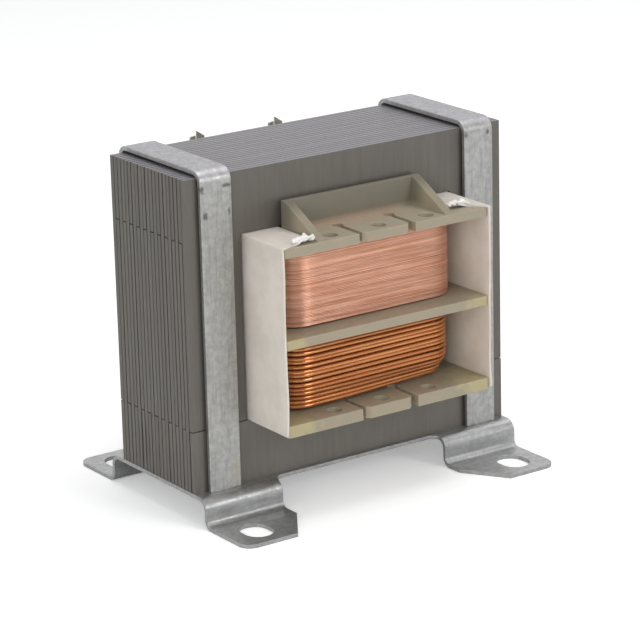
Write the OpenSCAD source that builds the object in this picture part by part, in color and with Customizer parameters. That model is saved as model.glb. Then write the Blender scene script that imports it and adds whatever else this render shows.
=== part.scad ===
// Laminated chassis transformer
//
// An interleaved EI core with a split bobbin on its centre leg: a fine winding
// above and a heavy winding below. Two sheet-metal straps hold the core down on
// a four-footed base plate, with their tabs folded under the plate.
// Millimetres, +Z up, resting on its feet, front face towards -Y.

/* [Core] */

// Width of the core, the long side of one EI sheet (height and legs follow from it)
core_w = 96; // [60:1:150]
// Packets of sheets in the stack, laid alternately yoke up and yoke down (odd)
packets = 21; // [13:2:37]
// Thickness of a packet of three sheets
packet_t = 1.62; // [1:0.02:2]
// Eased edge of every packet, which shows as a fine line between packets
edge_ease = 0.1; // [0.05:0.01:0.2]
// Sideways unevenness of the packets
stagger = 0.1; // [0:0.01:0.15]

/* [Base plate] */

// Thickness of the plate
plate_t = 1; // [0.8:0.1:2]
// Height of the plate's top above the floor
foot_drop = 7.8; // [6:0.1:14]
// How far the plate stands out past the core's sides
plate_side = 0.2; // [0.2:0.1:3]
// How far the plate's front and back edges stand out past the core between the feet
plate_lip = 1.2; // [0.5:0.1:1.6]
// Distance from the core's face to the outer face of a foot's riser
riser_out = 5.4; // [5:0.1:10]
// Outer radius of the upper bend
bend_r = 3.2; // [2:0.1:4]
// Inner radius of the lower bend
toe_r = 1.6; // [0.6:0.1:1.6]
// Length of a foot past its riser
foot_len = 17.6; // [14:0.1:26]
// Width of a foot at its riser
foot_w = 22.8; // [18:0.1:30]
// Outer corner radius of a foot
foot_corner = 3.5; // [1:0.1:6]
// Width cut from the inner corner of a foot
toe_cut = 7.7; // [2:0.1:10]

/* [Mounting slots] */

// Distance of a slot's centre from the end of the core
slot_inset = 8; // [6:0.1:10]
// Distance of a slot's centre from the front or back face of the core
slot_out = 15; // [12:0.1:18]
// Width of a slot
slot_w = 7.5; // [4:0.1:8]
// Length of a slot, front to back
slot_len = 9.5; // [6:0.1:12]

/* [Clamping straps] */

// Width of a strap
strap_w = 9; // [6:0.1:14]
// Thickness of a strap
strap_t = 1.2; // [0.8:0.1:2]
// Air between a strap and the flat faces of the core
strap_gap = 0.6; // [0.3:0.05:0.8]
// Distance of a strap's outer edge from the end of the core
strap_inset = 3.6; // [1:0.1:6]
// Width of the tab that passes through the plate
tab_w = 5; // [3:0.1:8]
// Length of the tab folded under the plate
tab_fold = 5; // [3:0.1:7]
// Clearance around a tab in its slot
tab_clear = 0.1; // [0.05:0.05:0.3]

/* [Bobbin] */

// Clearance between the bobbin's tube and the centre leg
tube_clear = 0.3; // [0.2:0.05:0.6]
// Wall of the tube
tube_wall = 1.2; // [0.8:0.1:2]
// Thickness of the flanges
flange_t = 2.4; // [1.2:0.1:3]
// Extra thickness under the bottom flange, front and back of the core
pad_t = 0.6; // [0:0.1:1.5]
// How much the middle flange sits below the middle of the bobbin
mid_drop = 0.7; // [0:0.1:2]
// How far the flanges reach past the face of the core
flange_reach = 17; // [13:0.5:22]
// Corner radius of the flanges
flange_corner = 0.6; // [0.3:0.1:2]
// Height of the trough walls above the top flange
trough_h = 7.3; // [4:0.1:12]
// Half length of a trough wall
trough_half = 20.6; // [16:0.1:20.8]
// Thickness of the trough walls
trough_t = 1.6; // [1:0.1:2.5]
// Thickness of the gussets at their ends
gusset_t = 2.4; // [1:0.1:3]
// Gap between the core's face and a trough wall
trough_gap = 0.9; // [0.3:0.1:2]
// Width of the wire notches in the outer flanges
notch_w = 1.5; // [1.2:0.1:3]
// Distance of the wire notches from the middle
notch_x = 7.8; // [5:0.1:10]
// Depth of the wire notches
notch_len = 10.4; // [6:0.1:11]
// Diameter of the terminal holes in the outer flanges
pin_hole = 4; // [1:0.1:4.4]
// Distance between neighbouring terminal holes
pin_pitch = 14.5; // [12:0.1:15]

/* [Windings] */

// Turns that show on the fine upper winding
fine_turns = 38; // [20:1:44]
// Height of the fine winding above the tube
fine_build = 9.3; // [7:0.1:10.5]
// Turns that show on the heavy lower winding
heavy_turns = 18; // [12:1:22]
// Height of the heavy winding above the tube at its fullest
heavy_build = 8.6; // [7:0.1:10.5]
// Diameter of the fine wire's lead-out
fine_lead = 0.5; // [0.3:0.05:0.8]
// Diameter of the heavy wire's lead-out
heavy_lead = 1; // [0.6:0.05:1.2]

/* [Insulation cards] */

// Thickness of the card
card_t = 0.5; // [0.3:0.05:0.6]
// Width of the card's flap over the top flange
flap_w = 9.6; // [6:0.1:9.8]
// How far the card stands out past the flanges, front and back
card_out = 0.3; // [0:0.1:1]
// Radius of the flap's curled-up torn corner
curl_r = 0.7; // [0.4:0.1:2]

/* [Solder tags] */

// Distance of a tag from the middle
tag_x = 12.2; // [11:0.1:15]
// Width of a tag
tag_w = 4.4; // [3:0.1:5]
// Thickness of a tag
tag_t = 0.5; // [0.4:0.1:0.8]
// Length of a tag outside its flange
tag_len = 14.2; // [8:0.1:16]

/* [Display] */

// Piece to show

/* [Hidden] */

$fn = 48;

// scrapless EI proportions: centre leg a third of the width, everything else a sixth
leg = core_w / 6;
core_h = core_w * 5 / 6;
half_w = core_w / 2;
stack = packets * packet_t;
half_d = stack / 2;
core_z = foot_drop;

// base plate
plate_x = half_w + plate_side;
plate_y = half_d + plate_lip;
riser_y = half_d + riser_out;
foot_y = riser_y + foot_len;
foot_x = plate_x - foot_w;
toe_y = riser_y + toe_r + 4.3;
lip_fillet = 2.5;
under_z = core_z - plate_t;
// slot centres: whole millimetres apart from front to back
slot_dx = core_w - 2 * slot_inset;
slot_dy = round(2 * (half_d + slot_out));

// straps: the inner bend is sized so that it bears on the edge of the core
strap_x = half_w - strap_inset - strap_w / 2;
strap_in_r = strap_gap / (1 - sqrt(0.5));
strap_in_y = half_d + strap_gap;
strap_out_y = strap_in_y + strap_t;
strap_in_z = core_z + core_h + strap_gap;
strap_out_z = strap_in_z + strap_t;

// bobbin
win_z0 = core_z + leg;
win_z1 = core_z + core_h - leg;
flap_air = 0.1;
bobbin_z0 = win_z0;
bobbin_z1 = win_z1 - card_t - flap_air;
tube_ix = leg + tube_clear;
tube_iy = half_d + tube_clear;
tube_ox = tube_ix + tube_wall;
tube_oy = tube_iy + tube_wall;
flange_x = 2 * leg - 1.2;
flange_y = half_d + flange_reach;
mid_z = (bobbin_z0 + bobbin_z1) / 2 - mid_drop;
low_z0 = bobbin_z0 + flange_t;
low_z1 = mid_z - flange_t / 2;
up_z0 = mid_z + flange_t / 2;
up_z1 = bobbin_z1 - flange_t;
hole_y = flange_y - 4;
wall_y = half_d + trough_gap;
gusset_y = flange_y - 0.3;
pad_y = half_d + 0.4;

// cards
card_x0 = flange_x + 0.2;
card_x1 = card_x0 + card_t;
curl_lap = 0.3;

// tags
tag_y = flange_y - 1.4;
stem_w = 2.4;

// ---------------------------------------------------------------- helpers

// children drawn in X-Z, extruded along Y from y to y + t
module slab(y, t) {
    translate([0, y + t, 0]) rotate([90, 0, 0]) linear_extrude(t) children();
}

// children drawn in Y-Z, extruded along X from x to x + w
module strip(x, w) {
    translate([x, 0, 0]) rotate([90, 0, 90]) linear_extrude(w) children();
}

// quarter ring around c, in the quadrant that the signs sx, sy name
module quarter(c, ri, ro, sx, sy) {
    translate(c) intersection() {
        difference() {
            circle(ro);
            circle(ri);
        }
        translate([sx < 0 ? -ro : 0, sy < 0 ? -ro : 0]) square(ro);
    }
}

// half profile with a rounded shoulder of radius r at y, z, standing on z0
module arch(y, z, z0, r) {
    translate([0, z0]) square([y, z - z0 - r]);
    translate([0, z0]) square([y - r, z - z0]);
    translate([y - r, z - r]) circle(r);
}

// what is cut off to round the corner at x, y to radius r
module corner_cut(x, y, r) {
    translate([x - r, y - r]) difference() {
        square(r + 1);
        circle(r);
    }
}

// round wire through a list of points
module wire(p, d) {
    for (i = [0 : len(p) - 2]) {
        v = p[i + 1] - p[i];
        translate(p[i]) rotate([0, acos(v[2] / norm(v)), atan2(v[1], v[0])])
            cylinder(d = d, h = norm(v), $fn = 12);
    }
    for (i = [1 : len(p) - 2]) translate(p[i]) sphere(d = 1.04 * d, $fn = 12);
}

// ---------------------------------------------------------------- core

// E sheet with its yoke up, standing on z = 0, drawn back by i on every edge
module e_outline(i) {
    difference() {
        translate([-half_w + i, leg + i]) square([core_w - 2 * i, core_h - leg - 2 * i]);
        for (s = [-1, 1])
            translate([s * 1.5 * leg - leg / 2 - i, leg - 1])
                square([leg + 2 * i, core_h - 2 * leg + 1 + i]);
    }
}

module i_outline(i) {
    translate([-half_w + i, i]) square([core_w - 2 * i, leg - 2 * i]);
}

// sideways drift of packet k
function drift(k, seed) = stagger * sin(k * 77 + seed);

// one packet: full outline in the middle, eased where it meets its neighbours
module packet(k, kind) {
    y0 = -half_d + k * packet_t;
    e0 = k == 0 ? 0 : edge_ease;
    e1 = k == packets - 1 ? 0 : edge_ease;
    slab(y0 + e0, packet_t - e0 - e1) if (kind == "e") e_outline(0); else i_outline(0);
    slab(y0, packet_t) if (kind == "e") e_outline(edge_ease); else i_outline(edge_ease);
}

module e_sheets_yoke_up() {
    color([0.42, 0.40, 0.37])
        translate([0, 0, core_z])
            for (k = [0 : 2 : packets - 1]) translate([drift(k, 0), 0, 0]) packet(k, "e");
}

module e_sheets_yoke_down() {
    color([0.40, 0.38, 0.36])
        translate([0, 0, core_z + core_h]) mirror([0, 0, 1])
            for (k = [1 : 2 : packets - 1]) translate([drift(k, 40), 0, 0]) packet(k, "e");
}

module i_sheets_bottom() {
    color([0.42, 0.40, 0.37])
        translate([0, 0, core_z])
            for (k = [0 : 2 : packets - 1]) translate([drift(k, 200), 0, 0]) packet(k, "i");
}

module i_sheets_top() {
    color([0.40, 0.38, 0.36])
        translate([0, 0, core_z + core_h]) mirror([0, 0, 1])
            for (k = [1 : 2 : packets - 1]) translate([drift(k, 120), 0, 0]) packet(k, "i");
}

// ---------------------------------------------------------------- base plate

// area under a step: a rounded shoulder at y, then a toe of height zt out to the foot's end
module under_step(y, z, r, toe, zt) {
    arch(y, z, 0, r);
    difference() {
        square([y + toe, zt + toe]);
        translate([y + toe, zt + toe]) circle(toe);
    }
    if (zt > 0) square([foot_y, zt]);
}

// the plate in section: flat under the core, down over two bends to a foot at each side
module plate_section() {
    for (m = [0, 1]) mirror([m, 0]) difference() {
        under_step(riser_y, core_z, bend_r, toe_r, plate_t);
        translate([-1, -1]) square([2, under_z + 1]);
        under_step(riser_y - plate_t, under_z, bend_r - plate_t, toe_r + plate_t, 0);
    }
}

// gap between two feet: rounded where it meets the plate's edge, wider at the toes
module foot_gap() {
    x = foot_x - lip_fillet;
    y = plate_y + lip_fillet;
    translate([-x, plate_y]) square([2 * x, foot_y]);
    translate([-foot_x, y]) square([2 * foot_x, foot_y]);
    for (s = [-1, 1]) translate([s * x, y]) circle(lip_fillet);
    polygon([[-foot_x, toe_y], [-foot_x - toe_cut, foot_y], [-foot_x - toe_cut, foot_y + 1],
             [foot_x + toe_cut, foot_y + 1], [foot_x + toe_cut, foot_y], [foot_x, toe_y]]);
}

module mounting_slot() {
    for (s = [-1, 1]) translate([0, s * (slot_len - slot_w) / 2]) circle(d = slot_w);
    square([slot_w, slot_len - slot_w], center = true);
}

// the plate's blank seen from above
module plate_plan() {
    difference() {
        square([2 * plate_x, 2 * foot_y], center = true);
        for (my = [0, 1]) mirror([0, my]) {
            foot_gap();
            for (mx = [0, 1]) mirror([mx, 0]) {
                corner_cut(plate_x, foot_y, foot_corner);
                translate([slot_dx / 2, slot_dy / 2]) mounting_slot();
            }
        }
    }
}

module base_plate() {
    color([0.66, 0.67, 0.67])
        difference() {
            intersection() {
                strip(-plate_x, 2 * plate_x) plate_section();
                linear_extrude(core_z) plate_plan();
            }
            // slots for the straps' tabs
            for (sx = [-1, 1], sy = [-1, 1])
                translate([sx * strap_x - tab_w / 2 - tab_clear,
                           sy * (strap_in_y + strap_t / 2) - strap_t / 2 - tab_clear, 0])
                    cube([tab_w + 2 * tab_clear, strap_t + 2 * tab_clear, core_z + 1]);
        }
}

// ---------------------------------------------------------------- straps

module strap(s) {
    color([0.70, 0.71, 0.72]) {
        strip(s * strap_x - strap_w / 2, strap_w)
            for (m = [0, 1]) mirror([m, 0]) difference() {
                arch(strap_out_y, strap_out_z, core_z, strap_in_r + strap_t);
                translate([-1, core_z - 1]) square([strap_in_y + 1 - strap_in_r, strap_in_z - core_z + 1]);
                arch(strap_in_y, strap_in_z, core_z - 1, strap_in_r);
            }
        // tabs through the plate, folded inwards under it
        strip(s * strap_x - tab_w / 2, tab_w)
            for (m = [0, 1]) mirror([m, 0]) {
                translate([strap_in_y, under_z]) square([strap_t, plate_t]);
                translate([strap_in_y - tab_fold, under_z - strap_t])
                    square([tab_fold, strap_t]);
                quarter([strap_in_y, under_z], 0, strap_t, 1, -1);
            }
    }
}

module strap_left() strap(-1);
module strap_right() strap(1);

// ---------------------------------------------------------------- bobbin

// one quadrant of an outer flange's wire notch and its terminal holes
module flange_cuts() {
    for (s = [-1, 1]) {
        translate([s * notch_x - notch_w / 2, flange_y - notch_len])
            square([notch_w, notch_len + 1]);
        translate([s * notch_x, flange_y - notch_len]) circle(d = 2 * notch_w);
        // lead-in on the side of the middle tab
        translate([s * (notch_x - notch_w / 2), flange_y]) rotate(45)
            square(notch_w, center = true);
    }
    for (k = [-1, 0, 1]) translate([k * pin_pitch, hole_y]) circle(d = pin_hole);
}

module flange_plan(cuts) {
    difference() {
        square([2 * flange_x, 2 * flange_y], center = true);
        square([2 * tube_ix, 2 * tube_iy], center = true);
        for (mx = [0, 1], my = [0, 1]) mirror([mx, 0]) mirror([0, my])
            corner_cut(flange_x, flange_y, flange_corner);
        if (cuts) for (m = [0, 1]) mirror([0, m]) flange_cuts();
    }
}

// slot for a tag's stem in the back of an outer flange
module stem_slots(z) {
    for (s = [-1, 1]) translate([s * tag_x - stem_w / 2, tag_y, z - pad_t - 1])
        cube([stem_w, tag_t, flange_t + pad_t + 2]);
}

module bobbin() {
    color([0.72, 0.70, 0.58]) {
        // tube on the centre leg
        translate([0, 0, bobbin_z0]) linear_extrude(bobbin_z1 - bobbin_z0) difference() {
            square([2 * tube_ox, 2 * tube_oy], center = true);
            square([2 * tube_ix, 2 * tube_iy], center = true);
        }
        // flanges
        difference() {
            translate([0, 0, bobbin_z0 - pad_t]) linear_extrude(flange_t + pad_t) flange_plan(true);
            translate([-flange_x - 1, -pad_y, bobbin_z0 - pad_t - 1])
                cube([2 * flange_x + 2, 2 * pad_y, pad_t + 1]);
            stem_slots(bobbin_z0);
        }
        difference() {
            translate([0, 0, up_z1]) linear_extrude(flange_t) flange_plan(true);
            stem_slots(up_z1);
        }
        translate([0, 0, low_z1]) linear_extrude(flange_t) flange_plan(false);
        // terminal troughs on the top flange: a wall between two gussets, front and back
        for (m = [0, 1]) mirror([0, m, 0]) {
            translate([-trough_half, wall_y, bobbin_z1 - 0.5])
                cube([2 * trough_half, trough_t, trough_h + 0.5]);
            for (s = [-1, 1])
                strip(s * (trough_half - gusset_t / 2) - gusset_t / 2, gusset_t)
                    polygon([[wall_y, bobbin_z1 - 0.5], [wall_y, bobbin_z1 + trough_h],
                             [wall_y + trough_t, bobbin_z1 + trough_h],
                             [gusset_y, bobbin_z1], [gusset_y, bobbin_z1 - 0.5]]);
        }
    }
}

// ---------------------------------------------------------------- windings

// section of a winding from its corner centre outwards: a row of round-backed turns
module turns_section(z0, z1, n, r, drop, facets) {
    p = (z1 - z0) / n;
    w = p / 2;
    polygon(concat(
        [[0, z0]],
        [for (k = [0 : n - 1]) let (rk = r - drop[k], z = z0 + (k + 0.5) * p)
            for (a = facets) [rk - w + w * cos(a), z + w * sin(a)]],
        [[0, z1]]));
}

// winding swept round the tube: straight sides, quarter-turn corners
module winding_body(z0, z1, n, build, r, drop, facets) {
    cx = tube_ox + build - r;
    cy = tube_oy + build - r;
    difference() {
        union() {
            translate([-cx, -cy, z0]) cube([2 * cx, 2 * cy, z1 - z0]);
            for (m = [0, 1]) {
                mirror([m, 0, 0]) translate([cx, cy, 0]) rotate([90, 0, 0])
                    linear_extrude(2 * cy) turns_section(z0, z1, n, r, drop, facets);
                mirror([0, m, 0]) translate([-cx, cy, 0]) rotate([90, 0, 90])
                    linear_extrude(2 * cx) turns_section(z0, z1, n, r, drop, facets);
            }
            for (mx = [0, 1], my = [0, 1])
                mirror([mx, 0, 0]) mirror([0, my, 0]) translate([cx, cy, 0])
                    rotate_extrude(angle = 90, $fn = 24) turns_section(z0, z1, n, r, drop, facets);
        }
        translate([-tube_ox, -tube_oy, z0 - 1]) cube([2 * tube_ox, 2 * tube_oy, z1 - z0 + 2]);
    }
}

// how far turn k of n stands back: the winding is fullest in the middle
function fine_drop(n) = [for (k = [0 : n - 1])
    let (e = min(k, n - 1 - k)) e < 3 ? 0.5 - 0.15 * e : 0.05 * (k % 3)];
function heavy_drop(n) = [for (k = [0 : n - 1])
    k < 4 ? 2.7 - 0.68 * k : (k > n - 3 ? 0.4 * (k - n + 3) : 0)];

// end of a winding's wire: out of its back at y, through the flange's notch and along the tag
module lead(s, y, z_in, z_out, dir, d) {
    wire([[s * notch_x, y - 4.5, z_in - dir * 3.5],
          [s * notch_x, y + 0.8, z_in - dir * 1.2],
          [s * notch_x, y + 0.8, z_out + dir * 1.5],
          [s * (tag_x - tag_w / 2 - d), tag_y - d / 2, z_out + dir * 3],
          [s * (tag_x + tag_w / 2), tag_y - d / 2, z_out + dir * 3]], d);
}

module upper_winding() {
    color([0.78, 0.52, 0.42]) {
        winding_body(up_z0, up_z1, fine_turns, fine_build, 7, fine_drop(fine_turns), [-50, 50]);
        // ends of the wire, out through the flange's notches to the tags
        for (s = [-1, 1])
            lead(s, tube_oy + fine_build, up_z1, bobbin_z1, 1, fine_lead);
    }
}

module lower_winding() {
    color([0.72, 0.40, 0.18]) {
        winding_body(low_z0, low_z1, heavy_turns, heavy_build, 6, heavy_drop(heavy_turns),
                     [-60, -20, 20, 60]);
        for (s = [-1, 1])
            lead(s, tube_oy + heavy_build, low_z0, bobbin_z0 - pad_t, -1, heavy_lead);
    }
}

// ---------------------------------------------------------------- cards and tags

// folded card: a side panel in the window and a flap over the top flange
module insulation_card(s, curl_y) {
    y1 = flange_y + card_out;
    flap_x = card_x1 - flap_w;
    color([0.86, 0.82, 0.77])
        mirror([s < 0 ? 1 : 0, 0, 0]) {
            slab(-y1, 2 * y1) {
                translate([card_x0, bobbin_z0]) square([card_t, bobbin_z1 - bobbin_z0]);
                translate([flap_x, bobbin_z1]) square([card_x0 - flap_x, card_t]);
                quarter([card_x0, bobbin_z1], 0, card_t, 1, 1);
            }
            // torn front corner of the flap, curled up
            slab(-y1 + 1.5, curl_y)
                quarter([flap_x + curl_lap, bobbin_z1 + curl_r + card_t], curl_r, curl_r + card_t, -1, -1);
        }
}

module insulation_card_left() insulation_card(-1, 5);
module insulation_card_right() insulation_card(1, 4);

// forked solder tag with a narrower stem pressed through the flange
module tag_outline(stem) {
    h = tag_len;
    w = tag_w / 2;
    polygon([[-stem_w / 2, -stem], [stem_w / 2, -stem], [stem_w / 2, 0], [w, 0],
             [w, h - 1.6], [-0.1 * w, h], [-0.1 * w, h - 2.4], [-0.25 * w, h - 2.4],
             [-0.25 * w, h - 1.2], [-w, h - 1.4], [-w, 0], [-stem_w / 2, 0]]);
}

module tag(s, up) {
    color([0.75, 0.74, 0.68])
        translate([s * tag_x, 0, up ? bobbin_z1 : bobbin_z0 - pad_t]) mirror([0, 0, up ? 0 : 1])
            slab(tag_y, tag_t) tag_outline(up ? flange_t : flange_t + pad_t);
}

module tag_upper_left() tag(-1, true);
module tag_upper_right() tag(1, true);
module tag_lower_left() tag(-1, false);
module tag_lower_right() tag(1, false);

// ---------------------------------------------------------------- pieces

base_plate();
strap_left();
strap_right();
e_sheets_yoke_up();
e_sheets_yoke_down();
i_sheets_bottom();
i_sheets_top();
bobbin();
upper_winding();
lower_winding();
insulation_card_left();
insulation_card_right();
tag_upper_left();
tag_upper_right();
tag_lower_left();
tag_lower_right();
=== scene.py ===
# %% [markdown]
# # A laminated chassis transformer
#
# This notebook dresses the CAD model of a small mains transformer in Blender. The real object is a
# stack of thin steel sheets, E shapes and I shapes laid crosswise by turns, with a plastic bobbin on
# its middle leg. The bobbin carries two copper coils: fine wire above and heavy wire below. Two
# galvanised straps clamp the stack to a plate with four slotted feet.
#
# The CAD model is loaded first and never changed. Where its plain solid already has the right
# shape, it only gets a finish. Where the eye expects more, such as single sheets or single turns of
# wire, a finer piece takes its place.

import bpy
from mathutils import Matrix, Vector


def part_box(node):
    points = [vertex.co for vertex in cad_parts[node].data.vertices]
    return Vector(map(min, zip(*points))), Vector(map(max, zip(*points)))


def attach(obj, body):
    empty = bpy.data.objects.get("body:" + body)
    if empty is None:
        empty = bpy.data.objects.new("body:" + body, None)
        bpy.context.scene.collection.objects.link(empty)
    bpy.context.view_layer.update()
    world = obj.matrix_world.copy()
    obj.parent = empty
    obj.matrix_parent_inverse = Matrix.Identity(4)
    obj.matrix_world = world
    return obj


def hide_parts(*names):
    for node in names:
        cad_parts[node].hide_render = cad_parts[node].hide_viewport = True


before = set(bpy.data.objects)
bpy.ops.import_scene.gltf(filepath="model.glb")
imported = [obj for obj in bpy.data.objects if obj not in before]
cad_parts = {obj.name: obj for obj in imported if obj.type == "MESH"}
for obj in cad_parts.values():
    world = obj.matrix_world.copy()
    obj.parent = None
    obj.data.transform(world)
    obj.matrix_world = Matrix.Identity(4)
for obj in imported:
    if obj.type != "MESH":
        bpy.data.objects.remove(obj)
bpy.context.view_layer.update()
print("CAD nodes:", sorted(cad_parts))

# %% Blender's modules
import math

import bmesh
import bpy
from mathutils import Matrix, Vector, noise

MM = 0.001
BODY = "root"

# %% [markdown]
# ## Sizes
#
# Every size below is in metres. The outer ones are read from the boxes of the CAD nodes, so the
# pieces follow the model. The few that no box shows, such as the bobbin's middle flange, are written
# once here and used by name from then on.

# %% Sizes of the core
core_low, core_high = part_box("e_sheets_yoke_up")
CORE_W = 96 * MM
LEG = CORE_W / 6
CORE_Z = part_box("i_sheets_bottom")[0][2]
CORE_TOP = core_high[2]
CORE_BACK = core_high[1]
CORE_FRONT = core_low[1]
PACKETS = 21
PACKET_T = (CORE_BACK - CORE_FRONT) / PACKETS
print(f"core: {PACKETS} packets of {PACKET_T / MM:.2f} mm")
print(f"core z = {CORE_Z / MM:.1f} to {CORE_TOP / MM:.1f} mm")

# %% Sizes of the bobbin, its windings and its cards
bobbin_low, bobbin_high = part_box("bobbin")
FLANGE_T = 2.4 * MM
TROUGH_H = 7.3 * MM
FLANGE_X = bobbin_high[0]
FLANGE_Y = bobbin_high[1]
FLANGE_TOP = bobbin_high[2] - TROUGH_H
LOW_Z0 = CORE_Z + LEG + FLANGE_T
LOW_Z1 = 45.6 * MM
UP_Z0 = LOW_Z1 + FLANGE_T
UP_Z1 = FLANGE_TOP - FLANGE_T
COIL_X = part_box("upper_winding")[1][0]
COIL_Y = -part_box("upper_winding")[0][1]
CARD_T = 0.5 * MM
print(f"upper coil z = {UP_Z0 / MM:.1f} to {UP_Z1 / MM:.1f} mm")
print(f"lower coil z = {LOW_Z0 / MM:.1f} to {LOW_Z1 / MM:.1f} mm")

# %% [markdown]
# ## Helpers for node trees
#
# A finish in Blender is a shader tree, and a rule-made shape is a Geometry Nodes tree. Both are
# nodes with sockets and links, so the same few helpers build them. One adds a node with its
# settings and inputs, the others are short names for sums and colour mixes.

# %% Add and link nodes
def feed(tree, node, values):
    """Gives a node's inputs their values, each a number or another node's output."""
    for key, value in values.items():
        if isinstance(value, bpy.types.NodeSocket):
            tree.links.new(value, node.inputs[key])
        else:
            node.inputs[key].default_value = value
    return node


def add(tree, kind, values=None, **settings):
    """A new node: settings are its options, values its inputs."""
    node = tree.nodes.new(kind)
    for name, value in settings.items():
        setattr(node, name, value)
    return feed(tree, node, values or {})


def maths(tree, operation, *values):
    """One sum on numbers, such as "ADD" or "MULTIPLY"."""
    return add(tree, "ShaderNodeMath", dict(enumerate(values)), operation=operation).outputs[0]


def vectors(tree, operation, *values):
    """One sum on vectors; the length comes out as a number."""
    node = add(tree, "ShaderNodeVectorMath", dict(enumerate(values)), operation=operation)
    return node.outputs["Value" if operation in ("LENGTH", "DISTANCE") else "Vector"]


def scaled(tree, vector, factor):
    """A vector or a colour times a number."""
    return add(tree, "ShaderNodeVectorMath", {0: vector, "Scale": factor}, operation="SCALE").outputs[0]


def parts_of(tree, vector):
    """A vector's three numbers, by the names X, Y and Z."""
    return add(tree, "ShaderNodeSeparateXYZ", {0: vector}).outputs


def mixed(tree, factor, first, second, mode="MIX"):
    """Two colours mixed by a factor or a mask."""
    return add(tree, "ShaderNodeMix", {0: factor, 6: first, 7: second},
               data_type="RGBA", blend_type=mode).outputs[2]


def eased(tree, value, low, high, out_low=0.0, out_high=1.0):
    """A value mapped smoothly from one range to another."""
    return add(tree, "ShaderNodeMapRange",
               {"Value": value, "From Min": low, "From Max": high, "To Min": out_low, "To Max": out_high},
               interpolation_type="SMOOTHSTEP").outputs["Result"]


print("helpers ready")

# %% [markdown]
# ## Shared effects as node groups
#
# Zinc, nylon, card and copper all show soft patches of a second shade, local marks and a fine
# stretched grain. Each effect is built once as a shader group with named inputs, and every finish
# places it with its own values. All of them read Object coordinates, which are metres here.

# %% A new node group with named sockets
def new_group(name, inputs, outputs, kind="ShaderNodeTree"):
    """inputs are (name, type, default), outputs are (name, type)."""
    tree = bpy.data.node_groups.new(name, kind)
    for label, socket_type, default in inputs:
        socket = tree.interface.new_socket(label, in_out="INPUT", socket_type="NodeSocket" + socket_type)
        if default is not None:
            socket.default_value = default
    for label, socket_type in outputs:
        tree.interface.new_socket(label, in_out="OUTPUT", socket_type="NodeSocket" + socket_type)
    return tree, tree.nodes.new("NodeGroupInput").outputs, tree.nodes.new("NodeGroupOutput").inputs


# %% Patches of a second shade
patches, given, out = new_group(
    "patches",
    [("Where", "Vector", None), ("Shade", "Color", None), ("Other shade", "Color", None),
     ("Per metre", "Float", 300.0), ("Stretch", "Vector", (1, 1, 1)), ("Amount", "Float", 1.0)],
    [("Colour", "Color"), ("Mask", "Float")])
place = vectors(patches, "MULTIPLY", given["Where"], given["Stretch"])
cloud = add(patches, "ShaderNodeTexNoise",
            {"Vector": place, "Scale": given["Per metre"], "Detail": 5.0, "Roughness": 0.62})
mask = maths(patches, "MULTIPLY", eased(patches, cloud.outputs[0], 0.36, 0.64), given["Amount"])
patches.links.new(mixed(patches, mask, given["Shade"], given["Other shade"]), out["Colour"])
patches.links.new(mask, out["Mask"])
print("group:", patches.name)

# %% A ragged mark at one place
mark, given, out = new_group(
    "mark",
    [("Where", "Vector", None), ("Centre", "Vector", None), ("Reach", "Vector", (0.01, 0.01, 0.01)),
     ("Raggedness", "Float", 0.6), ("Per metre", "Float", 700.0), ("Softness", "Float", 0.5),
     ("Amount", "Float", 1.0)],
    [("Mask", "Float")])
away = vectors(mark, "DIVIDE", vectors(mark, "SUBTRACT", given["Where"], given["Centre"]), given["Reach"])
cloud = add(mark, "ShaderNodeTexNoise",
            {"Vector": given["Where"], "Scale": given["Per metre"], "Detail": 4.0})
ragged = maths(mark, "MULTIPLY", maths(mark, "SUBTRACT", cloud.outputs[0], 0.5), given["Raggedness"])
distance = maths(mark, "ADD", vectors(mark, "LENGTH", away), maths(mark, "MULTIPLY", ragged, 2.0))
RIM = 1.1
full_at = maths(mark, "SUBTRACT", RIM, given["Softness"])
mask = maths(mark, "MULTIPLY", eased(mark, distance, RIM, full_at), given["Amount"])
mark.links.new(mask, out["Mask"])
print("group:", mark.name)

# %% A fine grain, drawn out in one direction
grain, given, out = new_group(
    "grain",
    [("Where", "Vector", None), ("Per metre", "Float", 3000.0), ("Stretch", "Vector", (1, 1, 1))],
    [("Height", "Float")])
place = vectors(grain, "MULTIPLY", given["Where"], given["Stretch"])
cloud = add(grain, "ShaderNodeTexNoise",
            {"Vector": place, "Scale": given["Per metre"], "Detail": 3.0, "Roughness": 0.7})
grain.links.new(cloud.outputs[0], out["Height"])
print("group:", grain.name)

# %% [markdown]
# ## The finishes
#
# A finish starts as a Principled shader with Object coordinates. Numbers that are the same all over
# are set on the shader itself, and only what changes over the surface comes through nodes.

# %% Start a finish
def start_finish(name, metallic, roughness, **sockets):
    """A material, its tree, its shader and the Object coordinates."""
    material = bpy.data.materials.new(name)
    material.use_nodes = True
    tree = material.node_tree
    shader = tree.nodes["Principled BSDF"]
    shader.inputs["Metallic"].default_value = metallic
    shader.inputs["Roughness"].default_value = roughness
    for label, value in sockets.items():
        shader.inputs[label.replace("_", " ")].default_value = value
    return material, tree, shader, add(tree, "ShaderNodeTexCoord").outputs["Object"]


def effect(tree, group, values, output):
    """Places a shared effect in a finish and gives one of its outputs."""
    node = tree.nodes.new("ShaderNodeGroup")
    node.node_tree = group
    return feed(tree, node, values).outputs[output]


def carried(tree, name):
    """A number that the mesh itself carries, as an attribute."""
    return add(tree, "ShaderNodeAttribute", attribute_name=name, attribute_type="GEOMETRY").outputs["Fac"]


def relief(tree, shader, height, depth):
    """Lets a height pattern, depth in metres, tilt the surface's shading."""
    bump = add(tree, "ShaderNodeBump", {"Height": height, "Distance": depth, "Strength": 1.0})
    tree.links.new(bump.outputs["Normal"], shader.inputs["Normal"])


print("finish helpers ready")

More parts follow.
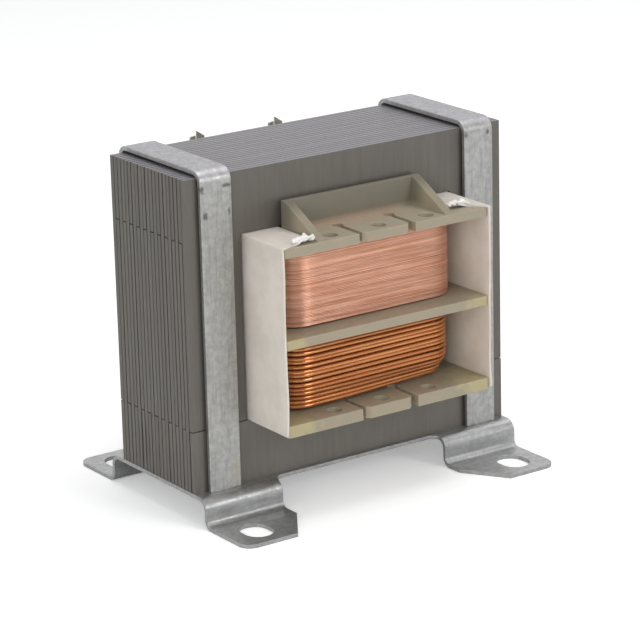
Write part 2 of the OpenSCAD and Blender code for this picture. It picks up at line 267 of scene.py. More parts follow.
# %% [markdown]
# ### Galvanised steel
#
# The straps and the plate are sheet steel with a thin coat of zinc. New zinc is bright and
# crystalline, and dulls to soft grey patches a few millimetres wide with fine darker specks. Bending
# and handling leave scuffs near the bends, each placed by a mark with its own centre and reach. The
# rolls draw the zinc out into faint streaks, up the straps and across the feet.

# %% Zinc on the straps and the plate
def galvanised(name, light, dull, roughness, along, above=(1, 1, 1, 1), marks=(), stains=()):
    """along stretches the drawn streaks, and above is a painted shade that darkens what faces up. Marks are
    dark scuffs and stains are yellowed places, each (centre, reach) in metres."""
    material, tree, shader, where = start_finish(name, 0.85, roughness)
    colour = effect(tree, patches, {"Where": where, "Shade": light, "Other shade": dull,
                                    "Per metre": 650.0, "Amount": 0.8}, "Colour")
    drawn = effect(tree, grain, {"Where": where, "Per metre": 1400.0, "Stretch": along}, "Height")
    colour = mixed(tree, eased(tree, drawn, 0.46, 0.70, 0.0, 0.5), colour, (0.27, 0.27, 0.265, 1))
    speck = effect(tree, grain, {"Where": where, "Per metre": 1500.0}, "Height")
    colour = mixed(tree, eased(tree, speck, 0.52, 0.75, 0.0, 0.35), colour, (0.25, 0.255, 0.26, 1))
    scuffed, yellowed = (0.08, 0.078, 0.073, 1), (0.50, 0.48, 0.36, 1)
    for shade, amount, places in ((scuffed, 0.75, marks), (yellowed, 0.45, stains)):
        for centre, reach in places:
            mask = effect(tree, mark, {"Where": where, "Centre": centre, "Reach": reach, "Raggedness": 0.9,
                                       "Per metre": 900.0, "Softness": 0.9, "Amount": amount}, "Mask")
            colour = mixed(tree, mask, colour, shade)
    # Painted shade: faces that point up are darkened by the colour given as above.
    facing_up = parts_of(tree, add(tree, "ShaderNodeNewGeometry").outputs["Normal"])["Z"]
    colour = mixed(tree, eased(tree, facing_up, 0.3, 0.9), colour, above, "MULTIPLY")
    tree.links.new(colour, shader.inputs["Base Color"])
    rough = effect(tree, patches, {"Where": where, "Per metre": 700.0, "Amount": 1.0}, "Mask")
    rough = eased(tree, rough, 0.0, 1.0, roughness - 0.06, roughness + 0.08)
    tree.links.new(rough, shader.inputs["Roughness"])
    relief(tree, shader, speck, 0.03 * MM)
    return material


FRONT_OF_STRAP = CORE_FRONT - 1.8 * MM
strap_marks = [((-43.9 * MM, FRONT_OF_STRAP, 85.2 * MM), (0.8 * MM, 2 * MM, 1.2 * MM)),
               ((-37.0 * MM, FRONT_OF_STRAP, 85.3 * MM), (1.9 * MM, 2 * MM, 0.7 * MM)),
               ((-43.2 * MM, FRONT_OF_STRAP, 78.5 * MM), (1.0 * MM, 2 * MM, 1.5 * MM)),
               ((-36.3 * MM, FRONT_OF_STRAP, 78.7 * MM), (0.5 * MM, 2 * MM, 1.3 * MM)),
               ((35.9 * MM, FRONT_OF_STRAP, 86.1 * MM), (0.7 * MM, 2 * MM, 0.9 * MM)),
               ((42.8 * MM, FRONT_OF_STRAP, 85.9 * MM), (0.6 * MM, 2 * MM, 0.8 * MM))]
strap_stains = [((-36.8 * MM, FRONT_OF_STRAP, 12 * MM), (2.6 * MM, 2 * MM, 4.5 * MM))]
# The straps get a painted shade on the faces that point up, the colour after the streaks' stretch.
strap_zinc = galvanised("strap_zinc", (0.50, 0.50, 0.485, 1), (0.385, 0.385, 0.37, 1), 0.42,
                        (1, 1, 0.06), (0.88, 0.86, 0.93, 1), strap_marks, strap_stains)
plate_zinc = galvanised("plate_zinc", (0.47, 0.475, 0.475, 1), (0.36, 0.362, 0.36, 1), 0.40, (0.06, 1, 1))
print("finishes:", strap_zinc.name, plate_zinc.name)

# %% [markdown]
# ### Silicon steel
#
# The sheets are punched from annealed silicon steel, a dark grey-brown with a thin oxide skin. The
# rolling leaves faint lines up the front sheet, and the faces that point up are painted paler, a painted
# light from above. No two sheets have quite the same shade, so each one carries its own number in an
# attribute called shade.
#
# The seams between the packets are painted dark on the side faces, a painted shade in the gaps. A
# seam comes back every packet, so the distance from the front sheet, divided by a packet's thickness,
# gives its place: the fraction that is left runs from 0 to 1 through each packet. Low down at the left
# the sheets stand a little apart, and there a mark widens the painted shade.

# %% Oxide skin on the core's sheets
def silicon_steel():
    material, tree, shader, where = start_finish("core_steel", 0.55, 0.46)
    shade = carried(tree, "shade")
    rolled_and_painted_light = effect(tree, patches, {"Where": where, "Shade": (0.168, 0.157, 0.138, 1),
                                    "Other shade": (0.146, 0.136, 0.120, 1), "Per metre": 900.0,
                                    "Stretch": (1, 1, 0.06), "Amount": 0.9}, "Colour")
    broad = effect(tree, patches, {"Where": where, "Per metre": 45.0, "Amount": 0.5}, "Mask")
    rolled_and_painted_light = mixed(tree, broad, rolled_and_painted_light, (0.162, 0.146, 0.130, 1))
    # Painted light: the faces that point up are mixed towards a paler, lavender shade.
    facing_up = parts_of(tree, add(tree, "ShaderNodeNewGeometry").outputs["Normal"])["Z"]
    rolled_and_painted_light = mixed(tree, eased(tree, facing_up, 0.5, 0.9), rolled_and_painted_light, (0.245, 0.236, 0.252, 1))
    place = parts_of(tree, where)
    depth = maths(tree, "DIVIDE", maths(tree, "SUBTRACT", place["Y"], CORE_FRONT), PACKET_T)
    in_packet = maths(tree, "FRACT", depth)
    half = CORE_W / 2
    at_side = eased(tree, maths(tree, "ABSOLUTE", place["X"]), half - 2 * MM, half - 1 * MM)
    # Painted shade: a dark line at each seam between packets on the side faces, and a wider one low down at
    # the left where the sheets stand apart.
    seam_shade = maths(tree, "MULTIPLY", eased(tree, in_packet, 0.66, 0.80, 0.0, 0.62), at_side)
    apart_seam_mask = effect(tree, mark, {"Where": where, "Centre": (-half, 6 * MM, CORE_Z + 7 * MM),
                                   "Reach": (3 * MM, 4.2 * MM, 10 * MM), "Raggedness": 0.1,
                                   "Softness": 0.8}, "Mask")
    open_seam_shade = maths(tree, "MULTIPLY", eased(tree, in_packet, 0.50, 0.62, 0.0, 0.9), apart_seam_mask)
    rolled_and_painted_light = mixed(tree, maths(tree, "MAXIMUM", seam_shade, open_seam_shade), rolled_and_painted_light, (0.03, 0.028, 0.025, 1))
    tint = eased(tree, shade, 0.0, 1.0, 0.93, 1.06)
    tinted = scaled(tree, rolled_and_painted_light, tint)
    tree.links.new(tinted, shader.inputs["Base Color"])
    fine = effect(tree, grain, {"Where": where, "Per metre": 2500.0, "Stretch": (1, 1, 0.1)}, "Height")
    tree.links.new(eased(tree, fine, 0.3, 0.7, 0.40, 0.54), shader.inputs["Roughness"])
    relief(tree, shader, fine, 0.012 * MM)
    return material


core_steel = silicon_steel()
print("finish:", core_steel.name)

# %% [markdown]
# ### Natural nylon
#
# The bobbin is unpigmented nylon: a greenish-grey ivory that lets a little light through. Where it
# is thin over the coil, the copper that shows through is painted as a warm tint, and the trough's wall
# gets a painted shade for the steel that stands close behind it. Varnish has yellowed the ends of the
# middle flange and parts of the bottom one.

# %% Nylon of the bobbin
def natural_nylon():
    material, tree, shader, where = start_finish("bobbin_nylon", 0.0, 0.42, Subsurface_Weight=0.25,
                                                 Subsurface_Radius=(1.0, 0.8, 0.5), Subsurface_Scale=0.0025)
    colour = effect(tree, patches, {"Where": where, "Shade": (0.335, 0.285, 0.205, 1),
                                    "Other shade": (0.315, 0.28, 0.205, 1), "Per metre": 120.0}, "Colour")
    # Painted light: a warm tint where the copper would show through the thin nylon over the coil.
    copper_tint_painted = effect(tree, mark, {"Where": where, "Centre": (0, 0, FLANGE_TOP), "Amount": 0.55,
                               "Reach": (25 * MM, COIL_Y + 1.5 * MM, 2.6 * MM), "Raggedness": 0.1}, "Mask")
    colour = mixed(tree, copper_tint_painted, colour, (0.40, 0.25, 0.18, 1))
    for side in (-1, 1):
        for height, reach in ((LOW_Z1, 7 * MM), (LOW_Z0, 11 * MM)):
            yellow = effect(tree, mark, {"Where": where, "Centre": (side * FLANGE_X, -FLANGE_Y, height),
                                         "Reach": (reach, 14 * MM, 4 * MM), "Per metre": 300.0,
                                         "Amount": 0.6}, "Mask")
            colour = mixed(tree, yellow, colour, (0.46, 0.40, 0.20, 1))
    place = parts_of(tree, where)
    # Painted shade: the trough's wall is darkened where the steel stands close behind it.
    painted_steel_shade = maths(tree, "MULTIPLY", eased(tree, maths(tree, "ABSOLUTE", place["Y"]), 26 * MM, 20 * MM),
                     eased(tree, place["Z"], FLANGE_TOP, FLANGE_TOP + 1.5 * MM, 0.0, 0.75))
    colour = mixed(tree, painted_steel_shade, colour, (0.14, 0.135, 0.105, 1))
    tree.links.new(colour, shader.inputs["Base Color"])
    skin = effect(tree, grain, {"Where": where, "Per metre": 600.0}, "Height")
    tree.links.new(eased(tree, skin, 0.3, 0.7, 0.36, 0.50), shader.inputs["Roughness"])
    relief(tree, shader, skin, 0.04 * MM)
    return material


bobbin_nylon = natural_nylon()
print("finish:", bobbin_nylon.name)

# %% [markdown]
# ### Enamelled copper
#
# Both coils are copper wire under a clear enamel. The fine wire looks pink and almost matt, the heavy
# wire is orange and glossy. A coat on the shader stands for the enamel. Each turn was pulled from
# another part of the reel, so the wire carries an attribute called shade that drifts from turn to turn.

# %% Enamelled copper, fine and heavy
def enamelled(name, light, deep, roughness, per_metre, coat):
    material, tree, shader, where = start_finish(name, 0.8, roughness, Coat_Weight=coat, Coat_Roughness=0.2)
    colour = effect(tree, patches, {"Where": where, "Shade": light, "Other shade": deep,
                                    "Per metre": per_metre, "Stretch": (0.05, 0.05, 1.0)}, "Colour")
    shade = carried(tree, "shade")
    tone = eased(tree, shade, 0.25, 0.75, 0.80, 1.06)
    toned = scaled(tree, colour, tone)
    tree.links.new(toned, shader.inputs["Base Color"])
    return material


fine_copper = enamelled("fine_copper", (0.83, 0.47, 0.34, 1), (0.68, 0.34, 0.22, 1), 0.30, 1300.0, 0.2)
heavy_copper = enamelled("heavy_copper", (0.80, 0.35, 0.13, 1), (0.60, 0.22, 0.07, 1), 0.19, 500.0, 0.4)
print("finishes:", fine_copper.name, heavy_copper.name)

# %% [markdown]
# ### Insulating card and tinned tags
#
# The cards are pressed fibre: matt, warm white, and whiter where they are torn. The solder tags are
# thin brass with a dull coat of tin.

# %% Card and tin
def pressed_card():
    material, tree, shader, where = start_finish("pressed_card", 0.0, 0.78, Subsurface_Weight=0.3,
                                                 Subsurface_Radius=(1.0, 0.85, 0.7), Subsurface_Scale=0.003)
    colour = effect(tree, patches, {"Where": where, "Shade": (0.66, 0.60, 0.54, 1),
                                    "Other shade": (0.60, 0.54, 0.47, 1), "Per metre": 110.0}, "Colour")
    torn = carried(tree, "torn")
    colour = mixed(tree, torn, colour, (0.80, 0.77, 0.72, 1))
    tree.links.new(colour, shader.inputs["Base Color"])
    fibre = effect(tree, grain, {"Where": where, "Per metre": 1800.0}, "Height")
    relief(tree, shader, fibre, 0.05 * MM)
    return material


def tinned():
    material, tree, shader, where = start_finish("tinned_brass", 0.8, 0.38)
    colour = effect(tree, patches, {"Where": where, "Shade": (0.62, 0.61, 0.56, 1),
                                    "Other shade": (0.48, 0.47, 0.42, 1), "Per metre": 800.0}, "Colour")
    tree.links.new(colour, shader.inputs["Base Color"])
    rough = effect(tree, grain, {"Where": where, "Per metre": 1500.0}, "Height")
    tree.links.new(eased(tree, rough, 0.3, 0.7, 0.3, 0.5), shader.inputs["Roughness"])
    relief(tree, shader, rough, 0.03 * MM)
    return material


card_finish = pressed_card()
tag_finish = tinned()
print("finishes:", card_finish.name, tag_finish.name)

# %% [markdown]
# ## Helpers for pieces
#
# A piece built by modifiers has to become a plain mesh before it is handed over. Then it rides on
# the only body of this model, the CAD nodes that it stands for are hidden, and a line prints its slot
# and these nodes.

# %% Finish and hand over a piece
def new_piece(name, mesh):
    piece = bpy.data.objects.new(name, mesh)
    bpy.context.scene.collection.objects.link(piece)
    return piece


def make_plain(piece):
    """The result of a piece's modifiers becomes its own mesh, and the modifiers go."""
    graph = bpy.context.evaluated_depsgraph_get()
    graph.update()
    mesh = bpy.data.meshes.new_from_object(piece.evaluated_get(graph), preserve_all_data_layers=True,
                                           depsgraph=graph)
    piece.modifiers.clear()
    piece.data = mesh
    return piece


def hand_over(piece, slot, *nodes):
    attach(piece, BODY)
    if nodes:
        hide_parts(*nodes)
    print(f"{piece.name}: {len(piece.data.polygons)} faces, slot {slot}, for {', '.join(nodes)}")


# %% [markdown]
# ## Pressed and moulded parts
#
# The plate, the straps, the bobbin and the tags have the right shape in CAD, but knife-sharp edges.
# Real sheet metal has a burr worn round and real mouldings have a small radius, and it is this edge
# that catches the light. So each gets a copy of its CAD mesh: triangles merged, flat faces joined,
# and a narrow Bevel on every edge that turns sharply. A weighted normal keeps the flat faces flat.

# %% A copy of a CAD node with eased edges
def eased_copy(node, name, width, finish, sharp=32.0):
    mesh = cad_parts[node].data.copy()
    mesh.name = name
    for layer in ("custom_normal", "sharp_edge"):
        if layer in mesh.attributes:
            mesh.attributes.remove(mesh.attributes[layer])
    shape = bmesh.new()
    shape.from_mesh(mesh)
    bmesh.ops.remove_doubles(shape, verts=shape.verts, dist=0.002 * MM)
    bmesh.ops.dissolve_limit(shape, angle_limit=math.radians(0.5), verts=shape.verts, edges=shape.edges)
    shape.to_mesh(mesh)
    shape.free()
    mesh.materials.clear()
    mesh.materials.append(finish)
    piece = new_piece(name, mesh)
    mesh.shade_smooth()
    bevel = piece.modifiers.new("eased edges", "BEVEL")
    bevel.width, bevel.segments = width, 2
    bevel.limit_method, bevel.angle_limit = "ANGLE", math.radians(sharp)
    piece.modifiers.new("flat faces stay flat", "WEIGHTED_NORMAL").keep_sharp = True
    return make_plain(piece)


hand_over(eased_copy("base_plate", "foot_plate", 0.18 * MM, plate_zinc), "base_plate", "base_plate")
for side in ("left", "right"):
    strap = eased_copy(f"strap_{side}", f"clamp_strap_{side}", 0.2 * MM, strap_zinc)
    hand_over(strap, "strap", f"strap_{side}")

# %% The bobbin and the solder tags
hand_over(eased_copy("bobbin", "bobbin_moulding", 0.25 * MM, bobbin_nylon), "bobbin", "bobbin")
for row in ("upper", "lower"):
    for side in ("left", "right"):
        tag = eased_copy(f"tag_{row}_{side}", f"solder_tag_{row}_{side}", 0.08 * MM, tag_finish)
        hand_over(tag, "tag", f"tag_{row}_{side}")

# %% [markdown]
# ## The stack of sheets
#
# The core is 126 punched sheets in packets of three, E shapes from above and below by turns, with an
# I sheet closing the open end of each E. A rule like this suits Geometry Nodes: one sheet is modelled,
# and a tree repeats it along the stack, nudges it sideways as real stacks are never even,
# and gives it a random number for its shade. Realize Instances turns the copies into a plain mesh.
# The packets stand a hair apart, which draws the fine lines on the stack, and every second packet
# carries the varnish that fills these seams, so that no light falls through them.

# %% One E sheet and one I sheet
SHEETS_PER_PACKET = 3
PACKET_GAP = 0.22 * MM
SHEET_PITCH = (PACKET_T - PACKET_GAP) / SHEETS_PER_PACKET
SHEET_T = SHEET_PITCH - 0.005 * MM
JOINT_GAP = 0.13 * MM


def add_slab(shape, outline, front_y, back_y):
    """A closed slab with this outline in X-Z."""
    front = [shape.verts.new((x, front_y, z)) for x, z in outline]
    back = [shape.verts.new((x, back_y, z)) for x, z in outline]
    shape.faces.new(front)
    shape.faces.new(list(reversed(back)))
    for i in range(len(outline)):
        j = (i + 1) % len(outline)
        shape.faces.new((front[j], front[i], back[i], back[j]))


def drawn_in(outline, by):
    """The same square-cornered outline, every edge moved inwards."""
    moved = []
    for i, (x, z) in enumerate(outline):
        for ax, az, bx, bz in ((*outline[i - 1], x, z), (x, z, *outline[(i + 1) % len(outline)])):
            length = math.hypot(bx - ax, bz - az)
            x, z = x - by * (bz - az) / length, z + by * (bx - ax) / length
        moved.append((x, z))
    return moved


def sheet_mesh(name, outline, spaced):
    """One sheet, its front face on y = 0. Where it is spaced, the varnish that fills the seams in front
    and behind goes with it, a little short of the sheet's edges."""
    shape = bmesh.new()
    add_slab(shape, outline, 0, SHEET_T)
    if spaced:
        fill = PACKET_GAP - 0.004 * MM
        add_slab(shape, drawn_in(outline, 0.6 * MM), -fill, SHEET_T + fill)
    bmesh.ops.recalc_face_normals(shape, faces=shape.faces)
    mesh = bpy.data.meshes.new(name)
    shape.to_mesh(mesh)
    shape.free()
    return mesh


def e_outline():
    """An E sheet with its yoke up and its three legs down, in row coordinates."""
    half, foot, top = CORE_W / 2, CORE_Z + LEG + JOINT_GAP, CORE_TOP
    crotch = top - LEG
    return [(-half, foot), (-2 * LEG, foot), (-2 * LEG, crotch), (-LEG, crotch), (-LEG, foot), (LEG, foot),
            (LEG, crotch), (2 * LEG, crotch), (2 * LEG, foot), (half, foot), (half, top), (-half, top)]


def i_outline():
    half, top = CORE_W / 2, CORE_Z + LEG - JOINT_GAP
    return [(-half, CORE_Z), (half, CORE_Z), (half, top), (-half, top)]


def upside_down(outline):
    return [(x, CORE_Z + CORE_TOP - z) for x, z in reversed(outline)]


print(f"an E sheet has {len(e_outline())} corners, an I sheet {len(i_outline())}")

# %% The tree that stacks sheets
stack_tree, given, out = new_group(
    "stack_of_sheets",
    [("Sheet", "Geometry", None), ("Sheets", "Int", 33), ("Sheets per packet", "Int", 3),
     ("Sheet pitch", "Float", SHEET_PITCH), ("Packet pitch", "Float", 2 * PACKET_T),
     ("First", "Float", CORE_FRONT), ("Packet drift", "Float", 0.05 * MM),
     ("Sheet drift", "Float", 0.02 * MM), ("Seed", "Int", 1), ("Finish", "Material", None)],
    [("Stack", "Geometry")], kind="GeometryNodeTree")
stack_tree.is_modifier = True
points = add(stack_tree, "GeometryNodeMeshLine", {"Count": given["Sheets"], "Offset": (0, 0, 0)})
index = add(stack_tree, "GeometryNodeInputIndex").outputs[0]
packet = maths(stack_tree, "FLOOR", maths(stack_tree, "DIVIDE", index, given["Sheets per packet"]))
before = maths(stack_tree, "MULTIPLY", packet, given["Sheets per packet"])
leaf = maths(stack_tree, "SUBTRACT", index, before)
depth = maths(stack_tree, "ADD", maths(stack_tree, "MULTIPLY", packet, given["Packet pitch"]),
              maths(stack_tree, "MULTIPLY", leaf, given["Sheet pitch"]))


def chance(tree, low, high, number, seed):
    """A random number for each value of number; sockets 2, 3, 7 and 8 are min, max, ID and seed."""
    return add(tree, "FunctionNodeRandomValue", {2: low, 3: high, 7: number, 8: seed},
               data_type="FLOAT").outputs[1]


sideways = maths(stack_tree, "ADD",
                 maths(stack_tree, "MULTIPLY", chance(stack_tree, -1.0, 1.0, packet, given["Seed"]),
                       given["Packet drift"]),
                 maths(stack_tree, "MULTIPLY", chance(stack_tree, -1.0, 1.0, index, given["Seed"]),
                       given["Sheet drift"]))
spot = add(stack_tree, "ShaderNodeCombineXYZ",
           {"X": sideways, "Y": maths(stack_tree, "ADD", depth, given["First"])}).outputs[0]
placed = add(stack_tree, "GeometryNodeSetPosition", {"Geometry": points.outputs[0], "Position": spot})
copies = add(stack_tree, "GeometryNodeInstanceOnPoints",
             {"Points": placed.outputs[0], "Instance": given["Sheet"]})
shades = maths(stack_tree, "ADD",
               maths(stack_tree, "MULTIPLY", chance(stack_tree, 0.0, 1.0, packet, given["Seed"]), 0.7),
               maths(stack_tree, "MULTIPLY", chance(stack_tree, 0.0, 1.0, index, given["Seed"]), 0.3))
shaded = add(stack_tree, "GeometryNodeStoreNamedAttribute",
             {"Geometry": copies.outputs[0], "Name": "shade", "Value": shades},
             data_type="FLOAT", domain="INSTANCE")
real = add(stack_tree, "GeometryNodeRealizeInstances", {"Geometry": shaded.outputs[0]})
finished = add(stack_tree, "GeometryNodeSetMaterial",
               {"Geometry": real.outputs[0], "Material": given["Finish"]})
stack_tree.links.new(finished.outputs[0], out["Stack"])
print("tree:", stack_tree.name, "with", len(stack_tree.nodes), "nodes")


# %% Give a piece a tree and its inputs
def grow(piece, tree, **values):
    """The tree as a modifier, its inputs named with underscores for spaces, made plain at once."""
    modifier = piece.modifiers.new(tree.name, "NODES")
    modifier.node_group = tree
    names = {item.name: item.identifier for item in tree.interface.items_tree if item.in_out == "INPUT"}
    for label, value in values.items():
        modifier[names[label.replace("_", " ")]] = value
    return make_plain(piece)


# %% Stack the four kinds of sheet
EVEN, ODD = CORE_FRONT, CORE_FRONT + PACKET_T
MORE, FEWER = (PACKETS + 1) // 2 * SHEETS_PER_PACKET, PACKETS // 2 * SHEETS_PER_PACKET
for node, outline, first, sheets, seed in (
        ("e_sheets_yoke_up", e_outline(), EVEN, MORE, 1),
        ("e_sheets_yoke_down", upside_down(e_outline()), ODD, FEWER, 2),
        ("i_sheets_bottom", i_outline(), EVEN, MORE, 3),
        ("i_sheets_top", upside_down(i_outline()), ODD, FEWER, 4)):
    stack = new_piece(f"loose_{node}", sheet_mesh(node, outline, first == ODD))
    grow(stack, stack_tree, Sheets=sheets, First=first, Seed=seed, Finish=core_steel)
    hand_over(stack, "core_sheet", node)

# %% [markdown]
# ## The coils
#
# A coil is one wire wound round the bobbin's tube, turn beside turn. The tree below makes it that
# way: a rounded rectangle is the path of one turn, a long line of points runs round it while it
# climbs by one pitch a turn, and a circle swept along that line is the wire. Noise that changes slowly
# along the wire and from turn to turn opens a gap here and lets a turn sink in there, as hand-fed
# machines leave it. Behind the wire lies a plain drum, which stands for the layers underneath.

# %% The tree that winds a wire
wound, given, out = new_group(
    "wound_wire",
    [("Drum", "Geometry", None), ("Width", "Float", 0.05), ("Depth", "Float", 0.05),
     ("Corner", "Float", 0.006), ("Bottom", "Float", 0.0), ("Pitch", "Float", 0.001), ("Turns", "Int", 18),
     ("Steps", "Int", 96), ("Wire", "Float", 0.001), ("Sink", "Float", 0.0002), ("Wander", "Float", 0.0002),
     ("Bottom retreat", "Float", 0.0), ("Seed", "Float", 0.0), ("Sides", "Int", 8),
     ("Finish", "Material", None)],
    [("Coil", "Geometry")], kind="GeometryNodeTree")
wound.is_modifier = True
outline = add(wound, "GeometryNodeCurvePrimitiveQuadrilateral",
              {"Width": given["Width"], "Height": given["Depth"]}, mode="RECTANGLE")
path = add(wound, "GeometryNodeFilletCurve",
           {"Curve": outline.outputs[0], "Radius": given["Corner"], "Count": 8}, mode="POLY")
count = maths(wound, "MULTIPLY", given["Turns"], given["Steps"])
line = add(wound, "GeometryNodeCurvePrimitiveLine", {"Start": (0, 0, 0), "End": (1, 0, 0)})
dense = add(wound, "GeometryNodeResampleCurve",
            {"Curve": line.outputs[0], "Count": maths(wound, "ADD", count, 1.0)}, mode="COUNT")
turn = maths(wound, "DIVIDE", add(wound, "GeometryNodeInputIndex").outputs[0], given["Steps"])
lap = maths(wound, "FRACT", turn)
sample = add(wound, "GeometryNodeSampleCurve", {"Curves": path.outputs[0], "Factor": lap},
             mode="FACTOR", use_all_curves=True)
sidewards = vectors(wound, "CROSS_PRODUCT", sample.outputs["Tangent"], (0, 0, 1))
outwards = vectors(wound, "NORMALIZE", sidewards)
print("path of one turn ready")

# %% Where the wire sinks in and where it wanders
level = maths(wound, "MULTIPLY", turn, given["Pitch"])
seen = add(wound, "ShaderNodeCombineXYZ", {"Z": maths(wound, "MULTIPLY", level, 26.0)}).outputs[0]
calm = vectors(wound, "MULTIPLY", sample.outputs["Position"], (0.4, 0.4, 0.4))
place = vectors(wound, "ADD", calm, seen)
slow = add(wound, "ShaderNodeTexNoise",
           {"Vector": place, "W": given["Seed"], "Scale": 38.0, "Detail": 1.0}, noise_dimensions="4D")
other = add(wound, "ShaderNodeTexNoise",
            {"Vector": place, "W": maths(wound, "ADD", given["Seed"], 7.3), "Scale": 30.0, "Detail": 0.0},
            noise_dimensions="4D")
sunk = maths(wound, "MULTIPLY", slow.outputs[0], given["Sink"])
low_turns = maths(wound, "MAXIMUM", maths(wound, "SUBTRACT", 1.0, maths(wound, "DIVIDE", turn, 4.5)), 0.0)
across = parts_of(wound, sample.outputs["Position"])["X"]
one_side = eased(wound, across, -12 * MM, 28 * MM, 0.1, 1.0)
retreat = maths(wound, "MULTIPLY", maths(wound, "MULTIPLY", low_turns, one_side), given["Bottom retreat"])
sunk = maths(wound, "ADD", sunk, retreat)
shift = maths(wound, "MULTIPLY", maths(wound, "SUBTRACT", other.outputs[0], 0.5), given["Wander"])
height = maths(wound, "ADD", maths(wound, "ADD", level, given["Bottom"]), shift)
inwards = scaled(wound, outwards, maths(wound, "MULTIPLY", sunk, -1.0))
up = add(wound, "ShaderNodeCombineXYZ", {"Z": height}).outputs[0]
spot = vectors(wound, "ADD", vectors(wound, "ADD", sample.outputs["Position"], inwards), up)
laid = add(wound, "GeometryNodeSetPosition", {"Geometry": dense.outputs[0], "Position": spot})
round_wire = add(wound, "GeometryNodeCurvePrimitiveCircle",
                 {"Resolution": given["Sides"], "Radius": maths(wound, "MULTIPLY", given["Wire"], 0.5)})
tone = add(wound, "ShaderNodeTexNoise",
           {"W": maths(wound, "MULTIPLY", turn, 0.9), "Scale": 1.0, "Detail": 0.0}, noise_dimensions="1D")
toned = add(wound, "GeometryNodeStoreNamedAttribute",
            {"Geometry": laid.outputs[0], "Name": "shade", "Value": tone.outputs[0]},
            data_type="FLOAT", domain="POINT")
swept = add(wound, "GeometryNodeCurveToMesh",
            {"Curve": toned.outputs[0], "Profile Curve": round_wire.outputs[0], "Fill Caps": True})
smooth = add(wound, "GeometryNodeSetShadeSmooth", {"Geometry": swept.outputs[0]})
joined = add(wound, "GeometryNodeJoinGeometry")
wound.links.new(given["Drum"], joined.inputs[0])
wound.links.new(smooth.outputs[0], joined.inputs[0])
real = add(wound, "GeometryNodeRealizeInstances", {"Geometry": joined.outputs[0]})
finished = add(wound, "GeometryNodeSetMaterial",
               {"Geometry": real.outputs[0], "Material": given["Finish"]})
wound.links.new(finished.outputs[0], out["Coil"])
print("tree:", wound.name, "with", len(wound.nodes), "nodes")


# %% The drum under a coil
def rounded_loop(half_x, half_y, corner, arc_steps=8):
    """Points anticlockwise round a rectangle with round corners."""
    loop = []
    for quadrant in range(4):
        sx, sy = ((1, 1), (-1, 1), (-1, -1), (1, -1))[quadrant]
        for step in range(arc_steps + 1):
            angle = math.radians(90 * (quadrant + step / arc_steps))
            loop.append((sx * (half_x - corner) + corner * math.cos(angle),
                         sy * (half_y - corner) + corner * math.sin(angle)))
    return loop


def drum_mesh(name, half_x, half_y, corner, inner_x, inner_y, bottom, top):
    """A closed ring: round-cornered outside, the tube's rectangle inside."""
    outer = rounded_loop(half_x, half_y, corner)
    inner = [(max(-inner_x, min(inner_x, x * 2)), max(-inner_y, min(inner_y, y * 2))) for x, y in outer]
    shape = bmesh.new()
    rings = [[shape.verts.new((x, y, z)) for x, y in loop]
             for loop, z in ((outer, bottom), (outer, top), (inner, top), (inner, bottom))]
    for k in range(4):
        below, above = rings[k], rings[(k + 1) % 4]
        for i in range(len(outer)):
            j = (i + 1) % len(outer)
            shape.faces.new((below[i], below[j], above[j], above[i]))
    bmesh.ops.remove_doubles(shape, verts=shape.verts, dist=0.01 * MM)
    bmesh.ops.recalc_face_normals(shape, faces=shape.faces)
    mesh = bpy.data.meshes.new(name)
    shape.to_mesh(mesh)
    shape.free()
    return mesh


TUBE_X, TUBE_Y = LEG + 1.5 * MM, CORE_BACK + 1.5 * MM
print(f"tube outside: {2 * TUBE_X / MM:.1f} by {2 * TUBE_Y / MM:.1f} mm")


# %% Wind both coils
def coil(name, node, finish, half_x, half_y, corner, bottom, top, turns, wire, sink, wander, retreat,
         seed, slot, steps, sides):
    back = wire + sink + retreat
    drum = drum_mesh(name, half_x - back, half_y - back, corner - back * 0.5, TUBE_X, TUBE_Y,
                     bottom + 0.05 * MM, top - 0.05 * MM)
    piece = new_piece(name, drum)
    pitch = (top - bottom - wire - 0.1 * MM) / turns
    grow(piece, wound, Width=2 * half_x - wire, Depth=2 * half_y - wire, Corner=corner - wire / 2,
         Bottom=bottom + wire / 2 + 0.05 * MM, Pitch=pitch, Turns=turns, Steps=steps, Wire=wire, Sink=sink,
         Wander=wander, Bottom_retreat=retreat, Seed=seed, Sides=sides, Finish=finish)
    hand_over(piece, slot, node)


coil("fine_coil", "upper_winding", fine_copper, COIL_X, COIL_Y, 7 * MM, UP_Z0, UP_Z1,
     turns=56, wire=0.5 * MM, sink=0.22 * MM, wander=0.5 * MM, retreat=0.3 * MM, seed=2.0,
     slot="fine_wire", steps=88, sides=6)
STEP_IN = 0.63 * MM
coil("heavy_coil", "lower_winding", heavy_copper, COIL_X - STEP_IN, COIL_Y - STEP_IN, 6.5 * MM,
     LOW_Z0, LOW_Z1, turns=16, wire=1.08 * MM, sink=0.35 * MM, wander=0.9 * MM, retreat=3.0 * MM, seed=5.0,
     slot="heavy_wire", steps=128, sides=12)

# %% [markdown]
# ## Wire ends
#
# Each coil's wire leaves through the notches at the back of its outer flange and is wrapped once
# round the foot of a solder tag. A wire end is a curve with a round bevel, the natural way to make
# anything that is long, round and bent. It becomes a mesh before it is handed over.

# %% Lead each wire out to its tag
TAG_X = 12.2 * MM
NOTCH_X = 7.8 * MM
TAG_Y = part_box("tag_upper_left")[0][1]


